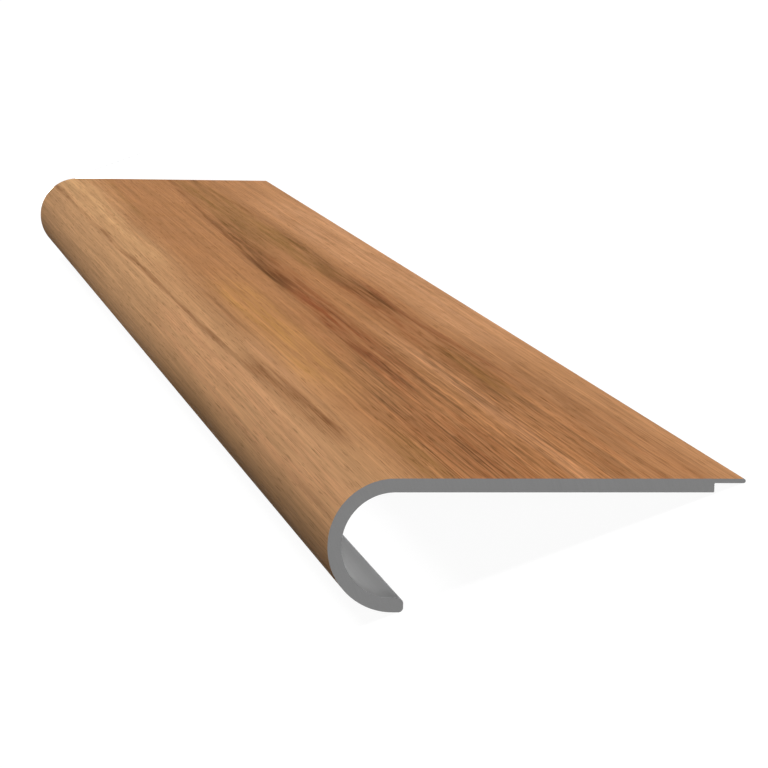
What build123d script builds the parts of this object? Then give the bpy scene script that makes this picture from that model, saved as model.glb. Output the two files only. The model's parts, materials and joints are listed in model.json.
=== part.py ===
from build123d import *

import os
from math import asin, atan2, cos, degrees, hypot, sin

# Landing nosing: a J-shaped vinyl extrusion that caps the front edge of a stair landing.
# The round nose wraps the edge of the landing from top to bottom and ends in a short hook.
# The leg lies flat on the landing behind it, and its rear edge thins to a lip that covers
# the edge of the floor planks. A wood-look film is bonded over every face that shows.
# It is stored as it lies on a level floor: on the heel of the hook and the tip of the lip.

# Driving dimensions, in millimetres
length = 1194.0  # one stock length, 47 in
overall_depth = 139.7  # front of the nose to the tip of the lip, 5-1/2 in
nose_height = 44.45  # outside of the nose, top to bottom, 1-3/4 in
wall = 4.6  # everywhere but the lip, film included
lip_thickness = 1.5  # film included
lip_width = 10.6  # from the rebate's shoulder to the tip
film_thickness = 0.4  # printed film with its wear layer
hook_reach = 3.4  # how far the hook runs back past the axis of the nose
hook_corner_radius = 1.6
rebate_corner_radius = 0.3  # both corners of the shoulder

# Section, drawn about the axis of the nose: x runs back along the leg, y up out of it
nose_radius = nose_height / 2
socket_radius = nose_radius - wall
lip_underside = nose_radius - lip_thickness
shoulder = overall_depth - nose_radius - lip_width

tip_radius = lip_thickness / 2
tip_centre = Vector(overall_depth - nose_radius - tip_radius, nose_radius - tip_radius)

hook_straight = hook_reach - hook_corner_radius
heel_centre = Vector(hook_straight, hook_corner_radius - nose_radius)
toe_centre = Vector(hook_straight, -hook_corner_radius - socket_radius)

# At rest the floor touches two rounds, the heel of the hook and the tip of the lip
rest_span = tip_centre - heel_centre
tilt = atan2(rest_span.Y, rest_span.X) + asin(
    (hook_corner_radius - tip_radius) / hypot(rest_span.X, rest_span.Y)
)
axis_height = hook_corner_radius + heel_centre.X * sin(tilt) - heel_centre.Y * cos(tilt)
rear_reach = tip_centre.X * cos(tilt) + tip_centre.Y * sin(tilt) + tip_radius
axis_setback = (nose_radius - rear_reach) / 2

# The origin is on the floor, under the middle of the box that the part fills
resting_section = Plane(
    origin=(axis_setback, 0, axis_height),
    x_dir=(cos(tilt), 0, -sin(tilt)),
    z_dir=(0, -1, 0),
)


def show_side(inset):
    """Draws the line of the faces that show, from the lip's tip to the hook's heel, that far
    under their surface, and returns its two ends."""
    tip_round = CenterArc(tip_centre, tip_radius - inset, 0, 90)
    top = Line(tip_round @ 1, (0, nose_radius - inset))
    nose = CenterArc((0, 0), nose_radius - inset, 90, 180)
    hook = Line(nose @ 1, (hook_straight, inset - nose_radius))
    return tip_round @ 0, hook @ 1


def back_side():
    """Draws the line of the hidden faces, from the hook's heel to the lip's tip, and returns
    its two ends."""
    heel = CenterArc(heel_centre, hook_corner_radius, 270, 90)
    toe = CenterArc(toe_centre, hook_corner_radius, 0, 90)
    hook_end = Line(heel @ 1, toe @ 0)
    hook_inside = Line(toe @ 1, (0, -socket_radius))
    socket = CenterArc((0, 0), socket_radius, 90, 180)
    leg_and_rebate = FilletPolyline(
        socket @ 0,
        (shoulder, socket_radius),
        (shoulder, lip_underside),
        (tip_centre.X, lip_underside),
        radius=rebate_corner_radius,
    )
    tip_round = CenterArc(tip_centre, tip_radius, 270, 90)
    return heel @ 0, tip_round @ 1


# Wood-look film: one strip, over the top of the tip and the leg, round the nose, to the heel
with BuildPart() as wood_film:
    with BuildSketch(resting_section):
        with BuildLine():
            worn_ends = show_side(0)
            bonded_ends = show_side(film_thickness)
            for worn_end, bonded_end in zip(worn_ends, bonded_ends):
                Line(worn_end, bonded_end)
        make_face()
    extrude(amount=length / 2, both=True)
wood_film.part.label = "wood_film"

# Core: the extruded vinyl, grey right through, with a step for the film's edge at each end
with BuildPart() as vinyl_core:
    with BuildSketch(resting_section):
        with BuildLine():
            bonded_tip, bonded_heel = show_side(film_thickness)
            bare_heel, bare_tip = back_side()
            Line(bonded_heel, bare_heel)
            Line(bare_tip, bonded_tip)
        make_face()
    extrude(amount=length / 2, both=True)
vinyl_core.part.label = "vinyl_core"

os.makedirs("parts", exist_ok=True)
for piece in (vinyl_core, wood_film):
    export_step(piece.part, f"parts/{piece.part.label}.step")

size = vinyl_core.part.bounding_box().size
print(f"rests at {degrees(tilt):.2f} degrees, {size.X:.2f} x {size.Y:.2f} x {size.Z:.2f} mm")
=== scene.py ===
import json
from math import cos, pi, radians, sin

import bpy
from mathutils import Matrix, Vector


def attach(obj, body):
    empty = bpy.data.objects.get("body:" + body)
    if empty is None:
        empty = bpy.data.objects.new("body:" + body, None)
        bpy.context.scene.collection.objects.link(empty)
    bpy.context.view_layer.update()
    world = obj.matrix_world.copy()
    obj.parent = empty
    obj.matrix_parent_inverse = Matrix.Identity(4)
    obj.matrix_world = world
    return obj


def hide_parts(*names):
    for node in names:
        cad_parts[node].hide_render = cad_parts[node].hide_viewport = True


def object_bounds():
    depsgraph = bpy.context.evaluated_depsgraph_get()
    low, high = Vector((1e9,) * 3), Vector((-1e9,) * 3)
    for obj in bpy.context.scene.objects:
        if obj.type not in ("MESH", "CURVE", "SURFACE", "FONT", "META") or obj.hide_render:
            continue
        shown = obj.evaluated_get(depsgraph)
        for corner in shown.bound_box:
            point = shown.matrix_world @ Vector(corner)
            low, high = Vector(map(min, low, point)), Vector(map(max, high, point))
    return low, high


# Landing nosing: a grey vinyl extrusion with a wood-look film over every face that shows.
# It lies on a level floor, on the heel of its hook and the tip of its rear lip.

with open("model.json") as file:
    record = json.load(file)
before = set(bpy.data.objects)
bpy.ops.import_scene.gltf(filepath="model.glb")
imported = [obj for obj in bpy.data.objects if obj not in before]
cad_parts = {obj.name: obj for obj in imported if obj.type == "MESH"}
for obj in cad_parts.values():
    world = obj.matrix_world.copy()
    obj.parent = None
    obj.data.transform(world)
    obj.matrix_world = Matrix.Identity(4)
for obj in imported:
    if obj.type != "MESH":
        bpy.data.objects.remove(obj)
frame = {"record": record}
cad_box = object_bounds()

# Sizes in metres, from the part's mounts and its box
mm_per_m = 1000
mounts = {mount["name"]: mount for mount in frame["record"]["mounts"]}
nose_axis = Vector(mounts["nose_socket"]["pos_m"])
socket_radius = mounts["nose_socket"]["dims"]["r_mm"] / mm_per_m
length = mounts["nose_socket"]["dims"]["length_mm"] / mm_per_m
leg_up = -Vector(mounts["leg_underside"]["axis"])
leg_back = Vector(mounts["rebate_shoulder"]["axis"])
along = Vector((0, 1, 0))

# Sizes that neither the mounts nor the box give
film_thickness = 0.0004
hook_corner_radius = 0.0016
rebate_corner_radius = 0.0003

# The section, measured from the nose's axis: back along the leg and up out of it
nose_radius = nose_axis.x - cad_box[0].x
shoulder = (Vector(mounts["rebate_shoulder"]["pos_m"]) - nose_axis).dot(leg_back)
lip_underside = (Vector(mounts["lip_underside"]["pos_m"]) - nose_axis).dot(leg_up)
tip_radius = (nose_radius - lip_underside) / 2
# The lip's tip reaches the rear of the box, and the hook's heel stands on the floor
tip_back = (
    cad_box[1].x - nose_axis.x - tip_radius - (nose_radius - tip_radius) * leg_up.x
) / leg_back.x + tip_radius
heel_back = (
    nose_axis.z - hook_corner_radius - (nose_radius - hook_corner_radius) * leg_up.z
) / -leg_back.z
hook_end = heel_back + hook_corner_radius

# The section's own frame, from the nose's axis at the near end: x back along the leg, y up
# out of it, z along the length
section_turn = Matrix((leg_back, leg_up, along)).transposed()
section_to_row = Matrix.Translation(nose_axis - along * length / 2) @ section_turn.to_4x4()


def new_object(name, data):
    made = bpy.data.objects.new(name, data)
    bpy.context.scene.collection.objects.link(made)
    return made


# Building node trees

class Value:
    """The output of a node. Arithmetic written with it becomes nodes too."""

    def __init__(self, tree, socket):
        self.tree = tree
        self.socket = socket

    def __add__(self, other):
        return sum_of(self.tree, "ADD", self, other)

    def __sub__(self, other):
        return sum_of(self.tree, "SUBTRACT", self, other)

    def __mul__(self, other):
        return sum_of(self.tree, "MULTIPLY", self, other)

    def __truediv__(self, other):
        return sum_of(self.tree, "DIVIDE", self, other)

    def __radd__(self, other):
        return sum_of(self.tree, "ADD", other, self)

    def __rsub__(self, other):
        return sum_of(self.tree, "SUBTRACT", other, self)

    def __rmul__(self, other):
        return sum_of(self.tree, "MULTIPLY", other, self)

    def __neg__(self):
        return sum_of(self.tree, "MULTIPLY", self, -1)


def feed(socket, value):
    """Links a Value to the socket, or sets the socket to a plain number, colour or name."""
    if isinstance(value, Value):
        value.tree.links.new(value.socket, socket)
    else:
        socket.default_value = value


def add(tree, kind, inputs=(), output=0, **settings):
    """Adds a node, sets or links its inputs, and returns one of its outputs."""
    made = tree.nodes.new(kind)
    for name, setting in settings.items():
        setattr(made, name, setting)
    for key, value in dict(inputs).items():
        feed(made.inputs[key], value)
    return Value(tree, made.outputs[output])


def sum_of(tree, operation, *values):
    """One step of arithmetic, as a node."""
    return add(tree, "ShaderNodeMath", enumerate(values), operation=operation)


def ramp_between(value, low, high, low_gives=0.0, high_gives=1.0):
    """Eases from one result to the other as the value goes from low to high."""
    inputs = {0: value, 1: low, 2: high, 3: low_gives, 4: high_gives}
    return add(value.tree, "ShaderNodeMapRange", inputs, interpolation_type="SMOOTHSTEP")


def add_inputs(tree, labels, kind="NodeSocketFloat"):
    for label in labels:
        tree.interface.new_socket(label, in_out="INPUT", socket_type=kind)


def read_inputs(tree):
    """The tree's own inputs, by name."""
    given = tree.nodes.new("NodeGroupInput")
    return {socket.name: Value(tree, socket) for socket in given.outputs if socket.name}


def give_output(tree, label, value, kind="NodeSocketFloat"):
    """Ends the tree with an output of that name, which gives the value."""
    tree.interface.new_socket(label, in_out="OUTPUT", socket_type=kind)
    out = tree.nodes.new("NodeGroupOutput")
    feed(out.inputs[label], value)


# Shapes: each piece is swept along the length from a section with rounded corners

section_sizes = {
    "Nose radius": nose_radius,
    "Socket radius": socket_radius,
    "Tip reach": tip_back,
    "Tip radius": tip_radius,
    "Shoulder": shoulder,
    "Hook end": hook_end,
    "Hook corner radius": hook_corner_radius,
    "Rebate corner radius": rebate_corner_radius,
    "Film thickness": film_thickness,
}
arc_step = 0.00035  # about the length of a facet on a round
fewest_facets = 8  # on a small round
rings_along = 13  # sections in each piece, its two ends included
weld_distance = 2e-6  # joins the ends to the sides
crease_angle = radians(30)  # edges past this stay crisp


def core_corners(size):
    """The core's outline as corners (back, up, radius): under the film from the lip's tip
    to the heel, then back along the faces that the landing and the planks touch."""
    bonded = size["Nose radius"] - size["Film thickness"]
    hook_straight = size["Hook end"] - size["Hook corner radius"]
    lip_underside = size["Nose radius"] - 2 * size["Tip radius"]
    bonded_tip = size["Tip reach"] - size["Film thickness"]
    return [
        (bonded_tip, bonded, size["Tip radius"] - size["Film thickness"]),
        (-bonded, bonded, bonded),
        (-bonded, -bonded, bonded),
        (hook_straight, -bonded, 0),
        (hook_straight, -size["Nose radius"], 0),
        (size["Hook end"], -size["Nose radius"], size["Hook corner radius"]),
        (size["Hook end"], -size["Socket radius"], size["Hook corner radius"]),
        (-size["Socket radius"], -size["Socket radius"], size["Socket radius"]),
        (-size["Socket radius"], size["Socket radius"], size["Socket radius"]),
        (size["Shoulder"], size["Socket radius"], size["Rebate corner radius"]),
        (size["Shoulder"], lip_underside, size["Rebate corner radius"]),
        (size["Tip reach"], lip_underside, size["Tip radius"]),
        (size["Tip reach"], size["Nose radius"] - size["Tip radius"], 0),
        (bonded_tip, size["Nose radius"] - size["Tip radius"], 0),
    ]


def film_corners(size):
    """The film's outline: its worn side from the tip to the heel, then its bonded side."""
    worn = size["Nose radius"]
    bonded = size["Nose radius"] - size["Film thickness"]
    bonded_tip = size["Tip reach"] - size["Film thickness"]
    hook_straight = size["Hook end"] - size["Hook corner radius"]
    return [
        (size["Tip reach"], worn, size["Tip radius"]),
        (-worn, worn, worn),
        (-worn, -worn, worn),
        (hook_straight, -worn, 0),
        (hook_straight, -bonded, 0),
        (-bonded, -bonded, bonded),
        (-bonded, bonded, bonded),
        (bonded_tip, bonded, size["Tip radius"] - size["Film thickness"]),
        (bonded_tip, size["Nose radius"] - size["Tip radius"], 0),
        (size["Tip reach"], size["Nose radius"] - size["Tip radius"], 0),
    ]


def choose_by_index(tree, data_type, values):
    """A field that gives each point its own value, in the order of the list."""
    chooser = tree.nodes.new("GeometryNodeIndexSwitch")
    chooser.data_type = data_type
    while len(chooser.index_switch_items) < len(values):
        chooser.index_switch_items.new()
    feed(chooser.inputs[0], add(tree, "GeometryNodeInputIndex"))
    for socket, value in zip(chooser.inputs[1:], values):
        feed(socket, value)
    return Value(tree, chooser.outputs[0])


def store(tree, geometry, name, value, data_type, domain):
    """Keeps a value on the geometry, under that name."""
    return add(
        tree,
        "GeometryNodeStoreNamedAttribute",
        {"Geometry": geometry, "Name": name, "Value": value},
        data_type=data_type,
        domain=domain,
    )


def rounded_section(tree, corners, facet_length):
    """A closed curve through the corners, rounded to their radii. Each point stores its way
    round the curve, as across."""
    places = [
        add(tree, "ShaderNodeCombineXYZ", {0: back, 1: up}) for back, up, radius in corners
    ]
    points = add(
        tree,
        "GeometryNodePoints",
        {"Count": len(corners), "Position": choose_by_index(tree, "VECTOR", places)},
    )
    index = add(tree, "GeometryNodeInputIndex")
    outline = add(tree, "GeometryNodePointsToCurves", {"Points": points, "Weight": index})
    outline = add(tree, "GeometryNodeSetSplineCyclic", {"Geometry": outline, "Cyclic": True})
    radius = choose_by_index(tree, "FLOAT", [radius for back, up, radius in corners])
    quarter_turn = radius * (pi / 2)
    facets = sum_of(tree, "MAXIMUM", quarter_turn / facet_length, fewest_facets)
    section = add(
        tree,
        "GeometryNodeFilletCurve",
        {"Curve": outline, "Radius": radius, "Count": facets},
        mode="POLY",
    )
    way_round = add(tree, "GeometryNodeSplineParameter", output="Length")
    return store(tree, section, "across", way_round, "FLOAT", "POINT")


def swept_sides(tree, section, far_end, size):
    """The faces along the length. They store their place in the print, across and along,
    and whether they are worn: on the film, those are the ones that show."""
    rail = add(tree, "GeometryNodeCurvePrimitiveLine", {"End": far_end})
    rail = add(
        tree, "GeometryNodeResampleCurve", {"Curve": rail, "Count": size["Steps along"]}
    )
    sides = add(tree, "GeometryNodeCurveToMesh", {"Curve": rail, "Profile Curve": section})
    across = add(tree, "GeometryNodeInputNamedAttribute", {"Name": "across"})
    position = add(tree, "GeometryNodeInputPosition")
    run = add(tree, "ShaderNodeSeparateXYZ", {0: position}, output=2)
    place = add(tree, "ShaderNodeCombineXYZ", {0: across, 1: run})
    sides = store(tree, sides, "print", place, "FLOAT2", "CORNER")
    show_width = (
        size["Tip radius"] * (pi / 2)
        + (size["Tip reach"] - size["Tip radius"])
        + size["Nose radius"] * pi
        + (size["Hook end"] - size["Hook corner radius"])
    )
    # A little over, so that the last worn face counts and the film's cut edge doesn't
    worn = sum_of(tree, "LESS_THAN", across, show_width + size["Film thickness"] / 4)
    return store(tree, sides, "worn", worn, "FLOAT", "FACE")


def sawn_ends(tree, section, far_end):
    """The two flat ends, which store that they are sawn."""
    cap = add(tree, "GeometryNodeFillCurve", {"Curve": section}, mode="TRIANGLES")
    cap = store(tree, cap, "sawn", 1.0, "FLOAT", "FACE")
    far_cap = add(tree, "GeometryNodeTransform", {"Geometry": cap, "Translation": far_end})
    near_cap = add(tree, "GeometryNodeFlipFaces", {"Mesh": cap})
    return near_cap, far_cap


def sweep_tree(name, corners_of):
    """A tree that rounds the corners of a section, sweeps it along the length, closes its
    ends and keeps its edges crisp."""
    tree = bpy.data.node_groups.new(name, "GeometryNodeTree")
    add_inputs(tree, [*section_sizes, "Length", "Arc step"])
    add_inputs(tree, ["Steps along"], "NodeSocketInt")
    add_inputs(tree, ["Finish"], "NodeSocketMaterial")
    size = read_inputs(tree)

    section = rounded_section(tree, corners_of(size), size["Arc step"])
    far_end = add(tree, "ShaderNodeCombineXYZ", {2: size["Length"]})
    sides = swept_sides(tree, section, far_end, size)
    near_cap, far_cap = sawn_ends(tree, section, far_end)
    joiner = tree.nodes.new("GeometryNodeJoinGeometry")
    for shell in (near_cap, far_cap, sides):
        feed(joiner.inputs[0], shell)
    swept = add(
        tree,
        "GeometryNodeMergeByDistance",
        {"Geometry": Value(tree, joiner.outputs[0]), "Distance": weld_distance},
    )

    swept = add(tree, "GeometryNodeSetShadeSmooth", {"Geometry": swept, "Shade Smooth": True})
    edge_angle = add(tree, "GeometryNodeInputMeshEdgeAngle")
    sharp = sum_of(tree, "GREATER_THAN", edge_angle, crease_angle)
    swept = add(
        tree,
        "GeometryNodeSetShadeSmooth",
        {"Geometry": swept, "Selection": sharp, "Shade Smooth": False},
        domain="EDGE",
    )
    swept = add(tree, "GeometryNodeRealizeInstances", {"Geometry": swept})
    swept = add(
        tree, "GeometryNodeSetMaterial", {"Geometry": swept, "Material": size["Finish"]}
    )
    give_output(tree, "Geometry", swept, "NodeSocketGeometry")
    return tree


def sweep(name, corners_of, finish):
    """Makes one swept piece: a plain closed mesh, in its place in the row frame."""
    tree = sweep_tree(name + " sweep", corners_of)
    maker = new_object(name + "_maker", bpy.data.meshes.new(name + "_start"))
    modifier = maker.modifiers.new(name + " sweep", "NODES")
    modifier.node_group = tree
    settings = {
        **section_sizes,
        "Length": length,
        "Arc step": arc_step,
        "Steps along": rings_along,
        "Finish": finish,
    }
    for item in tree.interface.items_tree:
        if item.in_out == "INPUT":
            modifier[item.identifier] = settings[item.name]
    depsgraph = bpy.context.evaluated_depsgraph_get()
    mesh = bpy.data.meshes.new_from_object(maker.evaluated_get(depsgraph))
    mesh.name = name
    bpy.data.objects.remove(maker)
    mesh.transform(section_to_row)
    return new_object(name, mesh)


# Colours and patterns for the finishes

def paint(red, green, blue):
    """A colour as a paint card gives it, 0 to 255, turned into light by the sRGB curve:
    straight at its dark end, and a power above that."""
    return tuple(
        part / 255 / 12.92 if part <= 10 else ((part / 255 + 0.055) / 1.055) ** 2.4
        for part in (red, green, blue)
    ) + (1.0,)


def new_finish(name):
    material = bpy.data.materials.new(name)
    material.use_nodes = True
    material.node_tree.nodes.clear()
    return material, material.node_tree


def show_surface(tree, surface, output_kind="ShaderNodeOutputMaterial"):
    out = tree.nodes.new(output_kind)
    feed(out.inputs["Surface"], surface)


def print_place(tree):
    """Where a point lies on its piece, in metres: the way round the section, and along."""
    place = add(tree, "ShaderNodeUVMap", uv_map="print")
    split = tree.nodes.new("ShaderNodeSeparateXYZ")
    feed(split.inputs[0], place)
    return Value(tree, split.outputs[0]), Value(tree, split.outputs[1])


def drawn_noise(across, run, wide, long, seed, detail=2.0, roughness=0.5):
    """Noise from 0 to 1 drawn out along the grain: its marks are about that wide and long.
    Each seed reads its own slice of the noise."""
    tree = across.tree
    slice_gap = 7.3
    place = add(
        tree, "ShaderNodeCombineXYZ", {0: across / wide, 1: run / long, 2: seed * slice_gap}
    )
    return add(
        tree,
        "ShaderNodeTexNoise",
        {"Vector": place, "Scale": 1.0, "Detail": detail, "Roughness": roughness},
        noise_dimensions="3D",
    )


def swing(noise, span):
    """Turns noise from 0 to 1 into a swing about zero, with that span."""
    return (noise - 0.5) * span


def mix_colours(share, first, second):
    """Goes from the first colour to the second as the share goes from 0 to 1."""
    tree = share.tree
    mixer = tree.nodes.new("ShaderNodeMix")
    mixer.data_type = "RGBA"
    # The sockets for colours share their names with others, so they are taken by number
    for number, value in ((0, share), (6, first), (7, second)):
        feed(mixer.inputs[number], value)
    return Value(tree, mixer.outputs[2])


def scaled_colour(colour, factor):
    inputs = {0: colour, "Scale": factor}
    return add(factor.tree, "ShaderNodeVectorMath", inputs, operation="SCALE")


vinyl_grey = paint(128, 128, 128)
olive_heart = paint(104, 66, 34)
red_heart = paint(140, 82, 49)
russet = paint(170, 103, 57)
umber = paint(120, 74, 42)
straw = paint(210, 164, 116)
honey = paint(193, 140, 82)
olive = paint(132, 97, 52)
rose_tan = paint(201, 147, 105)
light_tan = paint(208, 154, 111)
nose_tan = paint(191, 146, 104)
field_brown = paint(177, 125, 82)
lip_tan = paint(190, 138, 95)

# The print, laid out over the film, all in millimetres. Places across are measured
# from the line where the nose meets the flat top, plus towards the lip, and places along
# from the near end.

# The ground: its colours at these places across the film, with blends between them
ground_stops = (
    (-14, nose_tan),
    (14, field_brown),
    (66, field_brown),
    (117, lip_tan),
)

# The streaks: a name, these settings, a colour and a strength, laid one over the other
streak_settings = (
    "Near end at",
    "Far end at",
    "Half width",
    "Nose side fade",
    "Lip side fade",
    "Begins",
    "Ends",
    "End fade",
)
off_near = -300  # begins well before the near end, so it runs off it
off_far = 1500  # ends well past the far end
print_streaks = (
    ("near warm bed", 62, 62, 44, 10, 12, off_near, 240, 140, russet, 0.28),
    ("rear light band", 118, 100, 18, 6, 8, 280, 1120, 180, light_tan, 0.85),
    ("rear brown band", 97, 84, 8, 6, 5, off_near, 460, 160, umber, 0.24),
    ("rear reddish heart", 78, 78, 9.5, 6, 5, 100, 760, 200, red_heart, 0.66),
    ("rear olive patch", 78, 76, 5, 4, 4, 150, 400, 90, olive, 0.6),
    ("rear olive heart", 78.5, 78, 3.5, 5.5, 1.4, 420, 900, 110, olive_heart, 0.88),
    ("rear olive cloud", 76, 72, 6, 3, 5, 560, 960, 120, olive, 0.52),
    ("rear heart line", 107, 71, 1.2, 1.2, 1, 860, off_far, 120, umber, 0.6),
    ("rear light line", 63, 61, 4, 2, 2.5, off_near, 480, 120, rose_tan, 0.55),
    ("front reddish heart", 38, 63, 7, 3, 8, 150, 780, 160, red_heart, 0.95),
    ("front reddish edge", 34, 36, 4, 3, 3, 280, 520, 90, red_heart, 0.34),
    ("front olive heart", 29.8, 62.8, 5.4, 1.4, 8, 520, 980, 100, olive_heart, 0.92),
    ("front heart line", 25.5, 56.5, 1.2, 0.7, 1.6, 620, off_far, 120, umber, 0.65),
    ("olive cloud", 58, 68, 10, 4, 5, 720, 1260, 160, olive, 0.6),
    ("near brown bed", 34, 43, 12, 7, 9, off_near, 240, 120, red_heart, 0.34),
    ("near olive bed", 15, 12, 5, 3, 3, off_near, 150, 80, olive, 0.45),
    ("near light field", 4, 14, 12, 5, 7, 160, 420, 100, light_tan, 0.5),
    ("honey field", 10, 28, 9, 6, 6, 160, 660, 140, honey, 0.8),
    ("fine line on the flat", 4, 4, 1.6, 1.4, 2.6, 380, 620, 90, umber, 0.7),
    ("straw band", 1, -7, 6.5, 5, 6, 600, off_far, 240, straw, 0.9),
    ("far straw fan", 2, 2, 11, 6, 6, 900, off_far, 240, straw, 0.6),
    ("olive wedge", -8, 18, 2, 3, 3, 840, off_far, 160, olive, 0.4),
    ("nose light band", -21, -20, 9, 6, 6, off_near, 640, 160, light_tan, 0.78),
    ("pore line", -10, -14, 1, 0.7, 0.7, 180, off_far, 120, umber, 0.6),
    ("pore patch", -2, -22, 3.4, 2, 2.6, 60, 360, 80, umber, 0.8),
)


def streak_group():
    """One streak of a wood print, as a mask: where it lies across the film at the near end
    and at the far end, how wide it is, how soft each side is, and where it begins and ends."""
    tree = bpy.data.node_groups.new("streak", "ShaderNodeTree")
    add_inputs(tree, ["Across", "Along", *streak_settings])
    given = read_inputs(tree)
    run = given["Along"]
    half_width = given["Half width"]
    nose_fade = given["Nose side fade"]
    lip_fade = given["Lip side fade"]
    share = run / (length * mm_per_m)
    middle = given["Near end at"] + (given["Far end at"] - given["Near end at"]) * share
    off_middle = given["Across"] - middle
    lip_side = ramp_between(off_middle, half_width - lip_fade, half_width + lip_fade, 1.0, 0.0)
    nose_side = ramp_between(off_middle, -(half_width + nose_fade), nose_fade - half_width)
    begun = ramp_between(run, given["Begins"], given["Begins"] + given["End fade"])
    ended = ramp_between(run, given["Ends"] - given["End fade"], given["Ends"], 1.0, 0.0)
    give_output(tree, "Mask", lip_side * nose_side * begun * ended)
    return tree


def ground_colour(grain):
    """The print's colour before the streaks, from under the nose to the lip."""
    tree = grain.tree
    low = ground_stops[0][0]
    high = ground_stops[-1][0]
    ground = tree.nodes.new("ShaderNodeValToRGB")
    feed(ground.inputs[0], (grain - low) / (high - low))
    ramp = ground.color_ramp
    while len(ramp.elements) < len(ground_stops):
        ramp.elements.new(0.5)
    for element, (place, colour) in zip(ramp.elements, ground_stops):
        element.position = (place - low) / (high - low)
        element.color = colour
    return Value(tree, ground.outputs[0])


def streaked(colour, grain, run, cover):
    """Lays the print's streaks over a colour, as strongly as the cover lets them."""
    tree = grain.tree
    streak = streak_group()
    for name, *settings, tint, strength in print_streaks:
        node = tree.nodes.new("ShaderNodeGroup")
        node.node_tree = streak
        node.label = name
        feed(node.inputs["Across"], grain)
        feed(node.inputs["Along"], run)
        for label, setting in zip(streak_settings, settings):
            feed(node.inputs[label], setting)
        share = Value(tree, node.outputs["Mask"]) * cover * strength
        colour = mix_colours(share, colour, tint)
    return colour


def wood_film_finish():
    """The wear film: a printed wood with streaks, fibres and pores under a matt layer,
    embossed along the pores. Its sawn ends and its bonded side show its grey backing."""
    material, tree = new_finish("wood print film")
    way_round, way_along = print_place(tree)
    nose_line = tip_radius * pi / 2 + tip_back - tip_radius
    across = (nose_line - way_round) * mm_per_m
    run = way_along * mm_per_m

    # The grain wanders a little as it runs, and the edges of the streaks are feathered
    wander = swing(drawn_noise(across, run, wide=40, long=420, seed=1), 2.6)
    feather = swing(drawn_noise(across, run, wide=6, long=140, seed=2), 3)
    fray = swing(drawn_noise(across, run, wide=0.9, long=140, seed=3), 2.4)
    straight = across + wander
    grain = straight + feather + fray

    patch_noise = drawn_noise(across, run, wide=5, long=160, seed=4)
    thread_noise = drawn_noise(grain, run, wide=1.7, long=90, seed=9)
    patches = ramp_between(patch_noise, 0.3, 0.65, low_gives=0.5, high_gives=1.06)
    threads = ramp_between(thread_noise, 0.36, 0.6, low_gives=0.42, high_gives=1.06)
    colour = streaked(ground_colour(grain), grain, run, patches * threads)

    # The coarse bed at the near end: it thins out along the film, then towards the nose on
    # a slant, and towards the lip
    coarse = (
        ramp_between(run, 480, 220)
        * ramp_between(across - run * 0.06, 2, 16)
        * ramp_between(across, 112, 60)
    )

    # Growth figure, lines, fibres and pores, all stronger in the coarse bed
    figure = drawn_noise(grain, run, wide=2.6, long=220, seed=5, detail=3)
    line = drawn_noise(straight, run, wide=0.8, long=190, seed=8, roughness=0.6)
    fibre = drawn_noise(straight, run, wide=0.4, long=60, seed=6, roughness=0.6)
    dark_noise = drawn_noise(straight, run, wide=0.75, long=130, seed=10, detail=1)
    dark_line = ramp_between(dark_noise, 0.54, 0.64)
    pore_noise = drawn_noise(straight, run, wide=0.34, long=26, seed=7, detail=1)
    pores = ramp_between(pore_noise + coarse * 0.06, 0.62, 0.69)
    tone = (
        (1 + swing(figure, 0.6 + coarse * 0.8))
        * (1 + swing(line, 0.55 + coarse * 0.5))
        * (1 + swing(fibre, 0.4 + coarse * 0.25))
        * (1 - dark_line * (0.08 + coarse * 0.26))
        * (1 - pores * (0.3 + coarse * 0.06))
    )
    printed = scaled_colour(colour, tone)
    worn = add(tree, "ShaderNodeAttribute", output="Fac", attribute_name="worn")
    base = mix_colours(worn, vinyl_grey, printed)

    place = add(tree, "ShaderNodeTexCoord", output="Object")
    scuffs = add(tree, "ShaderNodeTexNoise", {"Vector": place, "Scale": 28.0, "Detail": 4.0})
    roughness = 0.66 + swing(scuffs, 0.16) + pores * 0.15 - fibre * 0.08
    relief = (fibre * 0.35 - pores) * worn
    bump = add(
        tree, "ShaderNodeBump", {"Strength": 0.35, "Distance": 0.00006, "Height": relief}
    )
    surface = add(
        tree,
        "ShaderNodeBsdfPrincipled",
        {
            "Base Color": base,
            "Roughness": roughness,
            "Specular IOR Level": 0.004,
            "Normal": bump,
        },
    )
    show_surface(tree, surface)
    return material


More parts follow.
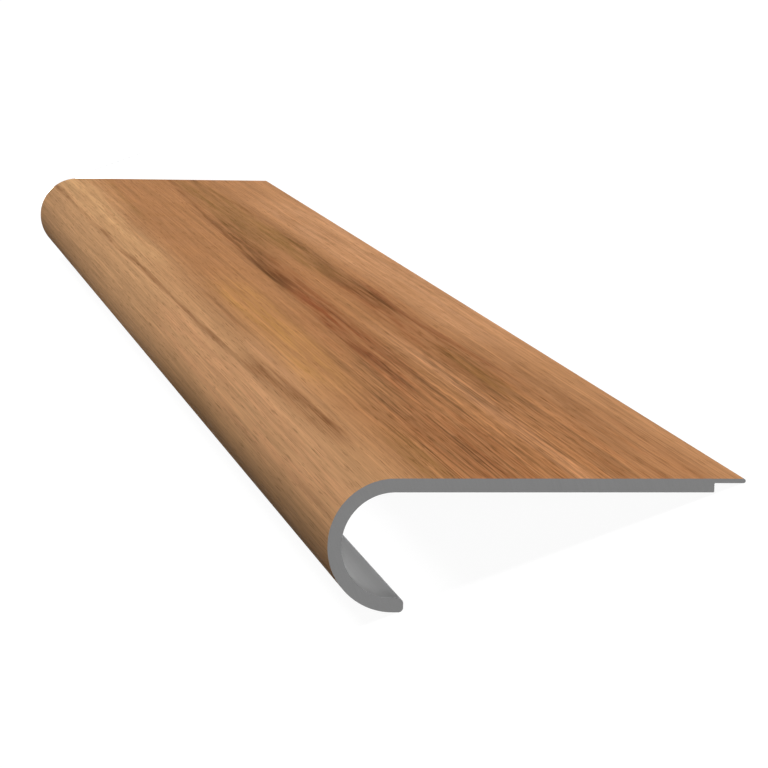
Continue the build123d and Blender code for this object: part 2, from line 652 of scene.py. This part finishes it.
def vinyl_core_finish():
    """Grey rigid vinyl: flat and matt, with faint die lines along it, specks of filler, and
    the fine marks of the saw on its ends."""
    material, tree = new_finish("grey vinyl")
    place = add(tree, "ShaderNodeTexCoord", output="Object")
    way_round, way_along = print_place(tree)
    sawn = add(tree, "ShaderNodeAttribute", output="Fac", attribute_name="sawn")

    across = way_round * mm_per_m
    run = way_along * mm_per_m
    die_lines = drawn_noise(across, run, wide=0.5, long=1500, seed=1, detail=3)
    specks = add(tree, "ShaderNodeTexNoise", {"Vector": place, "Scale": 2600.0, "Detail": 1.0})
    clouds = add(tree, "ShaderNodeTexNoise", {"Vector": place, "Scale": 60.0, "Detail": 3.0})
    across_cut = add(
        tree,
        "ShaderNodeMapping",
        {"Vector": place, "Rotation": (0, radians(12), 0), "Scale": (2200.0, 1.0, 60.0)},
    )
    saw_marks = add(
        tree, "ShaderNodeTexNoise", {"Vector": across_cut, "Scale": 1.0, "Detail": 2.0}
    )
    lines = die_lines + (saw_marks - die_lines) * sawn
    tone = 0.95 + swing(specks, 0.08) + swing(clouds, 0.04) + lines * 0.1
    bump = add(
        tree, "ShaderNodeBump", {"Strength": 0.2, "Distance": 0.00004, "Height": lines}
    )
    surface = add(
        tree,
        "ShaderNodeBsdfPrincipled",
        {
            "Base Color": scaled_colour(vinyl_grey[:3], tone),
            "Roughness": 0.7 + swing(specks, 0.1),
            "Specular IOR Level": 0.08,
            "Normal": bump,
        },
    )
    show_surface(tree, surface)
    return material


# The two pieces

core = sweep("grey_core", core_corners, vinyl_core_finish())
film = sweep("wood_print_film", film_corners, wood_film_finish())
for piece, node_name, slot_name in (
    (core, "vinyl_core", "grey_vinyl"),
    (film, "wood_film", "wood_look_film"),
):
    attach(piece, "root")
    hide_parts(node_name)


# Stage: a wide white floor that keeps a faint shadow, and sends little light back up

floor_reach = 30.0  # to each side
open_floor = 1.05  # about how bright it shows where no shadow falls, with 1 as white
shadow_share = 0.1  # about how much of that a full shadow takes away
floor_bounce = 0.1  # the share of the light that it sends back to the part
full_sun = pi  # lights a white face that looks straight at it up to white


def even_grey(level):
    return (level, level, level, 1)


def seen_or_mirrored(tree):
    """1 for what the camera sees, straight, in a shiny face or through glass, or else 0."""
    rays = tree.nodes.new("ShaderNodeLightPath")
    seen = Value(tree, rays.outputs["Is Camera Ray"])
    mirrored = Value(tree, rays.outputs["Is Glossy Ray"])
    through = Value(tree, rays.outputs["Is Transmission Ray"])
    return sum_of(tree, "MAXIMUM", seen, sum_of(tree, "MAXIMUM", mirrored, through))


def floor_finish():
    """White with a faint shadow to the camera and in gloss, and dull to the light."""
    material, tree = new_finish("white floor")
    white = add(
        tree,
        "ShaderNodeEmission",
        {"Color": even_grey(1), "Strength": open_floor - shadow_share},
    )
    shaded = add(tree, "ShaderNodeBsdfDiffuse", {"Color": even_grey(shadow_share)})
    shown = add(tree, "ShaderNodeAddShader", {0: white, 1: shaded})
    dull = add(tree, "ShaderNodeBsdfDiffuse", {"Color": even_grey(floor_bounce)})
    seen = seen_or_mirrored(tree)
    show_surface(tree, add(tree, "ShaderNodeMixShader", {0: seen, 1: dull, 2: shown}))
    return material


def make_floor():
    mesh = bpy.data.meshes.new("floor")
    corners = [
        (back * floor_reach, far * floor_reach, 0)
        for back, far in ((-1, -1), (1, -1), (1, 1), (-1, 1))
    ]
    mesh.from_pydata(corners, [], [(0, 1, 2, 3)])
    mesh.materials.append(floor_finish())
    floor = new_object("floor", mesh)


def make_world(fill_strength):
    """A dim even fill, which shows as white to the camera and in gloss."""
    world = bpy.data.worlds.new("studio")
    bpy.context.scene.world = world
    world.use_nodes = True
    tree = world.node_tree
    tree.nodes.clear()
    seen = seen_or_mirrored(tree)
    strength = seen + (1 - seen) * fill_strength
    sky = add(tree, "ShaderNodeBackground", {"Color": even_grey(1), "Strength": strength})
    show_surface(tree, sky, "ShaderNodeOutputWorld")


def make_sun(name, comes_from, strength, softness, shines):
    """A large soft lamp: where it comes from in the section's frame (back, up, along), and
    whether it shows in gloss."""
    lamp = bpy.data.lights.new(name, "SUN")
    lamp.energy = strength
    lamp.angle = radians(softness)
    sun = new_object(name, lamp)
    back, up, far = comes_from
    direction = leg_back * back + leg_up * up + along * far
    sun.rotation_mode = "QUATERNION"
    sun.rotation_quaternion = direction.to_track_quat("Z", "Y")
    sun.visible_glossy = shines


def make_panel(name, place, aims_at, runs, width, height, spread, strength):
    """A soft panel lamp, placed in the section's frame, with its height in the direction
    that it runs. It isn't seen itself."""
    lamp = bpy.data.lights.new(name, "AREA")
    lamp.shape = "RECTANGLE"
    lamp.size = width
    lamp.size_y = height
    lamp.spread = radians(spread)
    lamp.energy = strength
    panel = new_object(name, lamp)
    direction = section_turn @ (Vector(place) - Vector(aims_at))
    facing = direction.normalized()
    across_it = runs.cross(direction).normalized()
    turned = Matrix((across_it, facing.cross(across_it), facing)).transposed().to_4x4()
    panel.matrix_world = Matrix.Translation(section_to_row @ Vector(place)) @ turned
    panel.visible_camera = False
    panel.visible_glossy = False


make_floor()
make_world(fill_strength=0.05)

key_angle = radians(115)  # swung up from behind, along the leg, and over to the nose
make_sun(
    "key",
    comes_from=(cos(key_angle), sin(key_angle), 0),
    strength=0.82 * full_sun,
    softness=25,
    shines=True,
)
make_sun(
    "front fill",
    comes_from=(0.2, 0.16, -0.967),
    strength=0.89 * full_sun,
    softness=8,
    shines=False,
)
halfway = length / 2
make_panel(
    "hollow fill",
    place=(0.03, 0.012, halfway),
    aims_at=(-0.006, -0.016, halfway),
    runs=along,
    width=0.01,
    height=length,
    spread=80,
    strength=0.16,
)
far_stretch = 0.8
make_panel(
    "far side fill",
    place=(-0.5, -0.05, far_stretch),
    aims_at=(0, 0, far_stretch),
    runs=along,
    width=0.3,
    height=0.3,
    spread=180,
    strength=0.5,
)
make_panel(
    "far end fill",
    place=(0.03, 0.002, length + 0.4),
    aims_at=(0.03, 0.002, length),
    runs=leg_up,
    width=0.1,
    height=0.02,
    spread=180,
    strength=1.3,
)


# Camera, placed in the section's frame to match the outline in the photograph

def make_camera():
    lens = bpy.data.cameras.new("camera")
    lens.sensor_width = 36
    lens.lens = 190.5
    lens.clip_end = 100
    camera = new_object("camera", lens)
    place = Vector((-0.2205, 0.2242, -1.2938))
    turn = radians(-9.462)
    nod = radians(-7.421)
    roll = radians(-1.482)
    look_level = radians(90)  # a camera starts out looking straight down
    # x right, y into the picture, z up, before the camera is turned, nodded and rolled
    level = Matrix((leg_back, along, leg_up)).transposed().to_4x4()
    aimed = (
        level
        @ Matrix.Rotation(turn, 4, "Z")
        @ Matrix.Rotation(nod, 4, "X")
        @ Matrix.Rotation(roll, 4, "Y")
        @ Matrix.Rotation(look_level, 4, "X")
    )
    camera.matrix_world = Matrix.Translation(section_to_row @ place) @ aimed
    bpy.context.scene.camera = camera


make_camera()
bpy.context.scene.view_settings.view_transform = "Standard"
